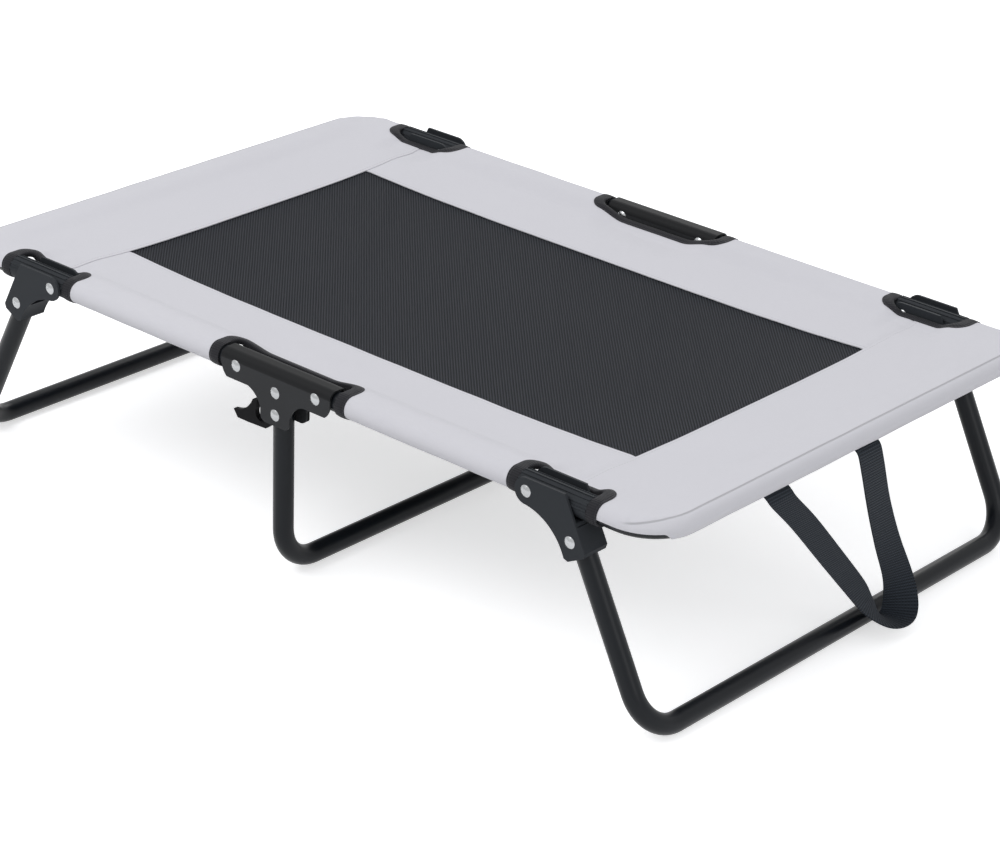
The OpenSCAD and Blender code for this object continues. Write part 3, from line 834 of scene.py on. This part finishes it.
@dataclass
class Piece:
    """A dressed piece: its mesh object and where it belongs."""

    name: str
    slot: str
    material: bpy.types.Material
    replaces: tuple[str, ...]
    thickness: float = 0.0
    object: Optional[bpy.types.Object] = field(default=None, init=False)

    def make(self, bm: bmesh.types.BMesh) -> bpy.types.Object:
        """Turns a bmesh into the piece's object.

        Args:
            bm: The finished surface, which is freed.

        Returns:
            The new object at the origin.
        """
        mesh = bpy.data.meshes.new(self.name)
        for edge in bm.edges:
            edge.smooth = not edge.is_boundary
        bm.to_mesh(mesh)
        bm.free()
        mesh.materials.append(self.material)
        mesh.polygons.foreach_set("use_smooth", [True] * len(mesh.polygons))
        self.object = bpy.data.objects.new(self.name, mesh)
        bpy.context.scene.collection.objects.link(self.object)
        if self.thickness:
            wall = self.object.modifiers.new("thickness", "SOLIDIFY")
            wall.thickness = self.thickness
            wall.offset = 0.0
        return self.object

    def settle(self, body: str, fold_with: Optional[str] = None) -> None:
        """Lets the piece ride with its body, or, where it crosses the fold, bakes its place into its mesh and
        leaves it without a body.

        Args:
            body: Body that carries it, or its outer end.
            fold_with: Body that carries its inner end, if it crosses the fold.
        """
        if fold_with:
            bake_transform(self.object)
        else:
            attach(self.object, body)
        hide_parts(*self.replaces)
        LOG.info("%s: %d faces", self.name, len(self.object.data.polygons))


@dataclass
class SlingSheet:
    """One flat sheet of the sling: cut, marked with its seams and laid over the rails."""

    xs: Sequence[float]
    ys: Sequence[float]
    pockets: Sequence[Pocket]
    radius: float = SIZES.sleeve_mid
    lift: Callable[[float, float], float] = lambda x, y: 0.0
    row: Callable[[float, float], float] = lambda x, y: 1.0
    seam: Callable[[float, float], float] = lambda x, y: 1.0
    seam_share: Callable[[float, float], float] = lambda x, y: 0.0
    merge: float = 0.00015
    sliver: float = 0.00005

    def build(self) -> tuple[bmesh.types.BMesh, float]:
        """Cuts and lays the sheet.

        Returns:
            The laid surface, and the area of the flat cut.
        """
        bm = flat_grid(self.xs, self.ys)
        self._cut(bm)
        area = sum(face.calc_area() for face in bm.faces)
        uv = bm.loops.layers.uv.new("flat")
        row = bm.verts.layers.float.new("row")
        seam = bm.verts.layers.float.new("seam")
        share = bm.verts.layers.float.new("seam_share")
        for face in bm.faces:
            for loop in face.loops:
                loop[uv].uv = loop.vert.co.xy
        for vert in bm.verts:
            x, y = vert.co.x, vert.co.y
            vert[row] = self.row(x, y)
            vert[seam] = self.seam(x, y)
            vert[share] = self.seam_share(x, y)
            vert.co = FORM.place(x, y, self.radius, self.lift(x, y))
        return bm, area

    def _cut(self, bm: bmesh.types.BMesh) -> None:
        """Takes the pockets and the ends of the wrapped edges off the flat grid, with clean edges.

        Args:
            bm: The flat grid.
        """
        outside: set[bmesh.types.BMVert] = set()
        for vert in bm.verts:
            x, y = vert.co.x, vert.co.y
            out, _, normal = FORM.rail(x, y)
            over = out - FORM.reach(x, y)
            if over > 0.0:
                outside.add(vert)
                vert.co -= normal * over
            for pocket in self.pockets:
                depth, edge = pocket.depth(abs(x), abs(vert.co.y))
                if depth > 0.0:
                    outside.add(vert)
                    vert.co.x, vert.co.y = math.copysign(edge[0], x), math.copysign(edge[1], y)
        waste = [face for face in bm.faces if all(v in outside for v in face.verts)]
        bmesh.ops.delete(bm, geom=waste, context="FACES")
        bmesh.ops.remove_doubles(bm, verts=bm.verts, dist=self.merge)
        bmesh.ops.dissolve_degenerate(bm, edges=bm.edges, dist=self.sliver)


@dataclass(frozen=True)
class Puckers:
    """Unevenness of the cloth, and how it gathers round a corner, in metres and degrees."""

    broad: float = 0.00035
    broad_scale: float = 22.0
    layer: float = 3.0
    least_bend: float = 0.05
    start: float = -0.012
    start_run: float = 0.02
    stop: Span = (0.008, 0.018)
    fold: float = 0.0005
    fold_waves: float = 14.0
    fold_turn_scale: float = 0.12
    fold_scale: float = 8.0
    ridge: float = 0.0011
    ridge_turns: Span = (76.5, 83.5)
    ridge_width: float = 2.2
    ridge_out: float = 0.010
    ridge_run: float = 0.005
    deepest: float = -0.0002

    def lift(self, x: float, y: float) -> float:
        """Finds how far the cloth stands off its smooth form.

        Args:
            x: Flat X.
            y: Flat Y.

        Returns:
            The distance outwards.
        """
        out, _, normal = FORM.rail(x, y)
        soft = self.broad * noise.noise(Vector((x * self.broad_scale, y * self.broad_scale, self.layer)))
        bend = 4.0 * abs(normal.x * normal.y)
        if bend < self.least_bend or out < self.start:
            return soft
        turn = math.degrees(math.atan2(abs(normal.y), abs(normal.x)))
        fade = min(max((out - self.start) / self.start_run, 0.0), 1.0) * min(bend, 1.0)
        fade *= 1.0 - eased(out, self.stop)
        folds = math.sin(math.radians(turn * self.fold_waves)) * 0.5
        folds += noise.noise(Vector((turn * self.fold_turn_scale, x * self.fold_scale, y * self.fold_scale)))
        ridges = sum(math.exp(-((turn - place) / self.ridge_width) ** 2) for place in self.ridge_turns)
        pucker = ridges * math.exp(-((out - self.ridge_out) / self.ridge_run) ** 2)
        return max(soft + self.fold * folds * fade + self.ridge * pucker, self.deepest)


@dataclass(frozen=True)
class BindingTape:
    """Tape folded over a cut-out's edge, with a collar round the rail at each end and a hem turned down, which
    hangs as a dark flap standing for the shade in the slot under the edge.
    """

    collar_turn: float = math.radians(352.0)
    leg_steps: int = 44
    turn_steps: int = 10
    run_steps: int = 16
    rows: int = 6
    hem_rows: int = 2
    hem: float = 0.007
    hem_from: Span = (0.016, 0.020)
    corner_hem: float = 0.0045
    corner_hem_from: Span = (0.006, 0.010)
    hem_under: float = 0.0018
    crown: float = 0.0005
    seat: float = 0.00025
    row_inset: float = 0.002

    def hem_depth(self, y: float) -> float:
        """Depth of the hem that far from the middle line: none on the collars, shallow in the corners."""
        off = SIZES.rail_y - y
        return max(self.corner_hem * eased(off, self.corner_hem_from), self.hem * eased(off, self.hem_from))

    def walk(self, pocket: Pocket, half: bool) -> list[Flat]:
        """Walks round a pocket's edge from its right end.

        Args:
            pocket: The cut-out.
            half: Whether the walk stops at the cut-out's middle.

        Returns:
            The points of the walk.
        """
        top = SIZES.rail_y + self.collar_turn * SIZES.sleeve_mid
        corner_x, corner_y = pocket.x1 - pocket.corner, pocket.edge + pocket.corner
        turns = [math.radians(-90.0 * i / self.turn_steps) for i in range(self.turn_steps + 1)]
        to_middle = (pocket.x0 + pocket.x1 - 2.0 * corner_x) / 2.0
        points = [(pocket.x1, top + (corner_y - top) * i / self.leg_steps) for i in range(self.leg_steps)]
        for turn in turns:
            x, y = corner_x + pocket.corner * math.cos(turn), corner_y + pocket.corner * math.sin(turn)
            points.append((x, y))
        for i in range(1, self.run_steps + 1):
            points.append((corner_x + to_middle * i / self.run_steps, pocket.edge))
        if half:
            return points
        return points + [(pocket.x0 + pocket.x1 - x, y) for x, y in reversed(points[:-1])]

    def strip(self, pocket: Pocket, end: End, side: Side, half: bool) -> bmesh.types.BMesh:
        """Lays the tape along a pocket's edge.

        Args:
            pocket: The cut-out.
            end: End of the cot.
            side: Side of the cot.
            half: Whether only the part beyond the cut-out's middle is made.

        Returns:
            The tape's surface.
        """
        cut = self.walk(pocket, half)
        lap = self.walk(pocket.grown(SIZES.collar_w, SIZES.tape_w), half)
        bm = flat_grid(range(len(cut)), range(-self.hem_rows, self.rows + 1))
        hem_faces = [face for face in bm.faces if face.calc_center_median().y < 0.0]
        bare = [f for f in hem_faces if any(not self.hem_depth(cut[round(v.co.x)][1]) for v in f.verts)]
        bmesh.ops.delete(bm, geom=bare, context="FACES")
        self._mark(bm, cut, lap)
        for vert in bm.verts:
            i = round(vert.co.x)
            vert.co = self._point(cut[i], lap[i], vert.co.y / self.rows, end, side)
        if end.value * side.value > 0:
            bmesh.ops.reverse_faces(bm, faces=bm.faces)
        return bm

    def _mark(self, bm: bmesh.types.BMesh, cut: Sequence[Flat], lap: Sequence[Flat]) -> None:
        """Writes the tape's UV map and its distance to the stitched row, while it is still a level grid.

        Args:
            bm: The level grid.
            cut: Points on the cut-out's edge.
            lap: Points on the tape's other edge.
        """
        uv = bm.loops.layers.uv.new("flat")
        row = bm.verts.layers.float.new("row")
        run = [0.0]
        for a, b in zip(cut, cut[1:]):
            run.append(run[-1] + math.dist(a, b))
        widths = [math.dist(a, b) for a, b in zip(cut, lap)]
        for face in bm.faces:
            for loop in face.loops:
                i = round(loop.vert.co.x)
                loop[uv].uv = (run[i], loop.vert.co.y / self.rows * widths[i])
        for vert in bm.verts:
            vert[row] = (1.0 - vert.co.y / self.rows) * widths[round(vert.co.x)] - self.row_inset

    def _point(self, cut: Flat, lap: Flat, across: float, end: End, side: Side) -> Vector:
        """Places a point of the tape.

        Args:
            cut: Flat point on the cut-out's edge.
            lap: Flat point beside it, on the tape's other edge.
            across: Share of the way from cut to lap, or below zero on the hem.
            end: End of the cot.
            side: Side of the cot.

        Returns:
            The point in the cot's frame.
        """
        # The hem: the tape's real turn under the edge, hung deep enough to be a dark sheet that stands for the
        # painted shade in the slot beneath.
        if across < 0.0:
            under = Vector(lap) - Vector(cut)
            under *= self.hem_under / under.length
            depth = across * self.rows / self.hem_rows * self.hem_depth(cut[1])
            edge = FORM.place(cut[0] * end.value, cut[1] * side.value, SIZES.tape_mid, -self.seat)
            return edge + Vector((end.value * under.x, side.value * under.y, depth))
        x = cut[0] + (lap[0] - cut[0]) * across
        y = cut[1] + (lap[1] - cut[1]) * across
        crown = self.crown * (1.0 - (2.0 * across - 1.0) ** 2) - self.seat
        return FORM.place(x * end.value, y * side.value, SIZES.tape_mid, crown)


@dataclass
class Sling:
    """Sewn cover: end panels, side panels, open mesh and binding tape."""

    cloth: bpy.types.Material = field(default_factory=lambda: CLOTH.material())
    mesh: bpy.types.Material = field(default_factory=lambda: MESH.material())
    tape: bpy.types.Material = field(default_factory=lambda: TAPE.material())
    puckers: Puckers = Puckers()
    binding: BindingTape = BindingTape()
    wrap: float = FORM.full_turn * SIZES.sleeve_mid + SIZES.trim
    close: float = 0.0017
    fine: float = 0.0025
    middling: float = 0.004
    wide: float = 0.006
    rail_lines: float = 0.264
    corner_lines: Span = (0.432, 0.456)
    fold_lines: Span = (0.076, 0.112)
    leg_lines: float = 0.300
    mesh_fold_lines: float = 0.1
    mesh_fine: float = 0.005
    mesh_wide: float = 0.011
    row_inset: float = 0.004
    seam_out: float = 0.003
    seam_drop: float = 0.011
    seam_end: Span = (0.94, 0.995)
    tuck: float = 0.0011
    tuck_start: float = 0.006
    tuck_run: float = 0.008
    mesh_drop: float = 0.0017

    def build(self) -> None:
        """Builds every piece of the cover."""
        for end in End:
            self._end_panel(end)
            self._mesh_half(end)
            for side in Side:
                self._side_panel(end, side)
                self._end_binding(end, side)
                self._fold_binding(end, side)

    @staticmethod
    def _cloth_pockets() -> tuple[Pocket, ...]:
        """Cut-outs up to the middle of their binding, where the cloth ends."""
        return tuple(p.grown(SIZES.collar_w / 2.0, SIZES.tape_w / 2.0) for p in (FOLD_POCKET, END_POCKET))

    def _end_panel(self, end: End) -> None:
        """End panel, wrapped round the end rail and capped over both corners.

        Args:
            end: End of the cot.
        """
        across = lines(0.0, (self.rail_lines, self.wide), (SIZES.rail_y + self.wrap, self.close))
        along = lines(
            SIZES.mesh_half_l,
            (self.corner_lines[0], self.fine),
            (self.corner_lines[1], self.middling),
            (SIZES.end_x + self.wrap, self.close),
        )

        def seam(x: float, y: float) -> float:
            """Signed distance to the seam, which runs on top of the end rail and down over the corners."""
            out, _, normal = FORM.rail(x, y)
            return out - self.seam_out - self.seam_drop * abs(normal.y) ** 3

        sheet = SlingSheet(
            mirrored(along, end.value),
            mirrored(across, -1)[:-1] + across,
            self._cloth_pockets(),
            lift=self.puckers.lift,
            row=lambda x, y: abs(x) - SIZES.mesh_half_l - self.row_inset,
            seam=seam,
            seam_share=lambda x, y: 1.0 - eased(abs(FORM.rail(x, y)[2].y), self.seam_end),
        )
        bm, area = sheet.build()
        nodes = (f"{end.word}_end_panel",)
        piece = Piece(f"{end.word}_end_cloth", "cloth_grey", self.cloth, nodes, SIZES.cloth_t)
        piece.make(bm)
        piece.settle(f"{end.word}_frame")

    def _side_panel(self, end: End, side: Side) -> None:
        """Side panel from the fold to the end panel, wrapped round the side rail.

        Args:
            end: End of the cot.
            side: Side of the cot.
        """
        along = lines(
            0.0,
            (self.fold_lines[0], self.middling),
            (self.fold_lines[1], self.fine),
            (self.leg_lines, self.wide),
            (SIZES.mesh_half_l + SIZES.seam_lap, self.fine),
        )
        across = lines(SIZES.mesh_half_w, (self.rail_lines, self.wide), (SIZES.rail_y + self.wrap, self.fine))

        def lap(x: float, y: float) -> float:
            """Level of the cloth, which tucks under the end panel at the seam."""
            share = min(max((abs(x) - SIZES.mesh_half_l + self.tuck_start) / self.tuck_run, 0.0), 1.0)
            return self.puckers.lift(x, y) - self.tuck * share

        sheet = SlingSheet(
            mirrored(along, end.value),
            mirrored(across, side.value),
            self._cloth_pockets(),
            lift=lap,
            row=lambda x, y: abs(y) - SIZES.mesh_half_w - self.row_inset,
        )
        bm, area = sheet.build()
        nodes = [f"{end.word}_{side.word}_panel"]
        if end is End.FOOT:
            nodes.append(f"{side.word}_middle_panel")
        piece = Piece(f"{end.word}_{side.word}_cloth", "cloth_grey", self.cloth, tuple(nodes), SIZES.cloth_t)
        piece.make(bm)
        piece.settle(f"{end.word}_frame", "centre_stand")

    def _mesh_half(self, end: End) -> None:
        """Half of the open mesh, lapped under the panels round it.

        Args:
            end: End of the cot.
        """
        half_w, length = SIZES.mesh_half_w + SIZES.seam_lap, SIZES.mesh_half_l + SIZES.seam_lap
        along = lines(0.0, (self.mesh_fold_lines, self.mesh_fine), (length, self.mesh_wide))
        across = lines(0.0, (half_w, self.mesh_wide))
        sheet = SlingSheet(
            mirrored(along, end.value),
            mirrored(across, -1)[:-1] + across,
            pockets=(),
            lift=lambda x, y: -self.mesh_drop,
        )
        bm, _ = sheet.build()
        nodes = [f"{end.word}_mesh"] + (["middle_mesh"] if end is End.FOOT else [])
        piece = Piece(f"{end.word}_open_mesh", "mesh_charcoal", self.mesh, tuple(nodes), SIZES.mesh_t)
        piece.make(bm)
        piece.settle(f"{end.word}_frame", "centre_stand")

    def _end_binding(self, end: End, side: Side) -> None:
        """Binding of the cut-out at a leg bracket.

        Args:
            end: End of the cot.
            side: Side of the cot.
        """
        name = f"{end.word}_{side.word}_binding"
        piece = Piece(f"{name}_tape", "binding_dark", self.tape, (name,), SIZES.tape_t)
        piece.make(self.binding.strip(END_POCKET, end, side, half=False))
        piece.settle(f"{end.word}_frame")

    def _fold_binding(self, end: End, side: Side) -> None:
        """Half of the binding of the cut-out at a fold bracket.

        Args:
            end: End of the cot.
            side: Side of the cot.
        """
        name = f"{end.word}_{side.word}_fold_binding"
        nodes = (name,) if end is End.HEAD else (name, f"{side.word}_middle_binding")
        piece = Piece(f"{name}_tape", "binding_dark", self.tape, nodes, SIZES.tape_t)
        piece.make(self.binding.strip(FOLD_POCKET, end, side, half=True))
        piece.settle(f"{end.word}_frame", "centre_stand")


@dataclass
class CarryStrap:
    """Loop of webbing under the foot end, through stations with X, Y and Z in mm and its turn in degrees."""

    width: float = 0.038
    thickness: float = 0.0016
    steps_along: int = 6
    steps_across: int = 8
    stations: tuple[tuple[float, float, float, float], ...] = (
        (486, -130, 212.6, 0), (492, -130, 212.0, 0), (496.5, -129, 208, 0), (499.5, -123, 199, 0),
        (503, -92, 167, 0), (507, -47, 116, 2), (511, -4, 67, 8), (516, 16, 40, 24), (522, 34, 21, 52),
        (524.5, 48, 14, 88), (524, 62, 16, 118), (519, 71, 28, 142), (513, 70, 54, 164), (507, 53, 98, 175),
        (503, 37, 143, 180), (500, 25, 185, 180), (497.5, 21, 203, 180), (495, 20, 209.5, 180),
        (491, 20, 212.2, 180), (486, 20, 212.6, 180),
    )

    def route(self) -> tuple[list[Vector], list[Vector]]:
        """Finds the webbing's middle line from its stations.

        Returns:
            The points of the middle line, and the direction across the webbing at each.
        """
        path = [Vector(station[:3]) / 1000.0 for station in self.stations]
        turns = [math.radians(station[3]) for station in self.stations]
        return path, [Vector((-math.sin(turn), math.cos(turn), 0.0)) for turn in turns]

    def _smooth(self, points: Sequence[Vector]) -> list[Vector]:
        """Runs a Catmull-Rom curve through points.

        Args:
            points: The points.

        Returns:
            Points along the curve.
        """
        result = []
        for i in range(len(points) - 1):
            a, b = points[max(i - 1, 0)], points[i]
            c, d = points[i + 1], points[min(i + 2, len(points) - 1)]
            square = 2.0 * a - 5.0 * b + 4.0 * c - d
            cube = 3.0 * b - a - 3.0 * c + d
            for k in range(self.steps_along):
                t = k / self.steps_along
                result.append(0.5 * ((2.0 * b) + (c - a) * t + square * t * t + cube * t ** 3))
        return result + [points[-1].copy()]

    def build(self) -> None:
        path, across = self.route()
        middle, sideways = self._smooth(path), self._smooth(across)
        run = [0.0]
        for a, b in zip(middle, middle[1:]):
            run.append(run[-1] + (b - a).length)
        bm = flat_grid(range(len(middle)), range(self.steps_across + 1))
        uv = bm.loops.layers.uv.new("flat")
        for face in bm.faces:
            for loop in face.loops:
                loop[uv].uv = (run[round(loop.vert.co.x)], loop.vert.co.y / self.steps_across * self.width)
        for vert in bm.verts:
            i, share = round(vert.co.x), vert.co.y / self.steps_across - 0.5
            vert.co = middle[i] + sideways[i].normalized() * (share * self.width)
        piece = Piece("carry_webbing", "webbing_dark", WEBBING.material(), ("carry_strap",), self.thickness)
        piece.make(bm)
        piece.settle("foot_frame")


@dataclass
class Framework:
    """Tubes, brackets, mouldings and rivets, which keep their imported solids."""

    def dress(self) -> None:
        """Gives every visible solid its finish, by its slot in the record."""
        made = {slot: finish.material() for slot, finish in HARD_FINISHES.items()}
        for part in frame["record"]["subparts"]:
            material = made.get(part["material_slot"])
            if material is None:
                continue
            mesh = frame["nodes"][part["node"]].data
            mesh.materials.clear()
            mesh.materials.append(material)
            LOG.info("%s: %s", part["node"], material.name)


@dataclass(frozen=True)
class Lamp:
    """Round soft lamp, in metres and watts."""

    name: str
    spot: tuple[float, float, float]
    size: float
    power: float

    def hang(self, aim: tuple[float, float, float]) -> None:
        """Hangs the lamp and turns it to a point.

        Args:
            aim: The point.
        """
        data = bpy.data.lights.new(self.name, "AREA")
        data.shape, data.size, data.energy = "DISK", self.size, self.power
        lamp = bpy.data.objects.new(self.name, data)
        lamp.location = self.spot
        lamp.rotation_euler = (Vector(aim) - Vector(self.spot)).to_track_quat("-Z", "Y").to_euler()
        bpy.context.scene.collection.objects.link(lamp)


@dataclass
class Studio:
    """Camera at the photograph's angle, pale floor and soft light."""

    place: tuple[float, float, float] = (2.0172, -2.3098, 1.5054)
    azimuth: float = 40.374
    elevation: float = 26.656
    roll: float = 2.483
    lens: float = 109.82
    sensor: float = 36.0
    shift: Span = (-0.0157, 0.0841)
    farthest: float = 60.0
    lamps: tuple[Lamp, ...] = (
        Lamp("key", (-0.9, -2.2, 3.2), 2.6, 62.0),
        Lamp("fill", (3.0, -0.6, 1.6), 2.0, 16.0),
        Lamp("rim", (-1.2, 2.8, 2.2), 2.0, 22.0),
    )
    lamp_aim: tuple[float, float, float] = (0.0, 0.0, 0.15)
    sky: tuple[float, float, float] = (0.62, 0.63, 0.65)
    white: tuple[float, float, float] = (1.0, 1.0, 1.0)
    floor_half: float = 12.0
    floor_gap: float = 0.0005
    floor_tone: float = 0.8
    floor_roughness: float = 0.9
    floor_specular: float = 0.1
    floor_glow: float = 0.58

    def camera(self) -> None:
        """Sets up the camera."""
        az, el, roll = (math.radians(v) for v in (self.azimuth, self.elevation, self.roll))
        back = Vector((math.sin(az) * math.cos(el), -math.cos(az) * math.cos(el), math.sin(el)))
        level = Vector((math.cos(az), math.sin(az), 0.0))
        upright = back.cross(level)
        right = math.cos(roll) * level + math.sin(roll) * upright
        up = math.cos(roll) * upright - math.sin(roll) * level
        data = bpy.data.cameras.new("camera")
        data.lens, data.sensor_width, data.sensor_fit = self.lens, self.sensor, "HORIZONTAL"
        data.shift_x, data.shift_y = self.shift
        data.clip_end = self.farthest
        camera = bpy.data.objects.new("camera", data)
        turn = Matrix((right, up, back)).transposed().to_4x4()
        camera.matrix_world = Matrix.Translation(self.place) @ turn
        bpy.context.scene.collection.objects.link(camera)
        bpy.context.scene.camera = camera

    def light(self) -> None:
        """Hangs a broad key, a fill and a rim lamp, under an even sky that is seen as white."""
        for lamp in self.lamps:
            lamp.hang(self.lamp_aim)
        world = bpy.data.worlds.new("studio")
        bpy.context.scene.world = world
        world.use_nodes = True
        graph = Graph(world.node_tree)
        backdrop = world.node_tree.nodes["Background"]
        graph.fill(backdrop, Color=graph.mix(graph.seeing(), rgba(self.sky), rgba(self.white)))

    def floor(self) -> None:
        """Lays the pale floor, which keeps the soft shadow."""
        bm = bmesh.new()
        bmesh.ops.create_grid(bm, x_segments=1, y_segments=1, size=self.floor_half)
        mesh = bpy.data.meshes.new("floor")
        bm.to_mesh(mesh)
        bm.free()
        floor = bpy.data.objects.new("floor", mesh)
        floor.location = (0.0, 0.0, -self.floor_gap)
        bpy.context.scene.collection.objects.link(floor)
        material = bpy.data.materials.new("pale floor")
        material.use_nodes = True
        graph = Graph(material.node_tree)
        shader = material.node_tree.nodes["Principled BSDF"]
        tone = rgba(self.white, self.floor_tone)
        glow = graph.math("MULTIPLY", graph.seeing(), self.floor_glow)
        graph.fill(shader, Base_Color=tone, Emission_Color=rgba(self.white), Emission_Strength=glow)
        graph.fill(shader, Roughness=self.floor_roughness, Specular_IOR_Level=self.floor_specular)
        mesh.materials.append(material)


def main() -> None:
    """Builds the scene in order and reports each piece."""
    logging.basicConfig(level=logging.INFO, format="%(name)s: %(message)s")
    bpy.context.scene.view_settings.view_transform = "Standard"
    studio = Studio()
    studio.camera()
    CarryStrap().build()
    Sling().build()
    Framework().dress()
    studio.light()
    studio.floor()
    bpy.context.view_layer.update()


if __name__ == "__main__":
    main()
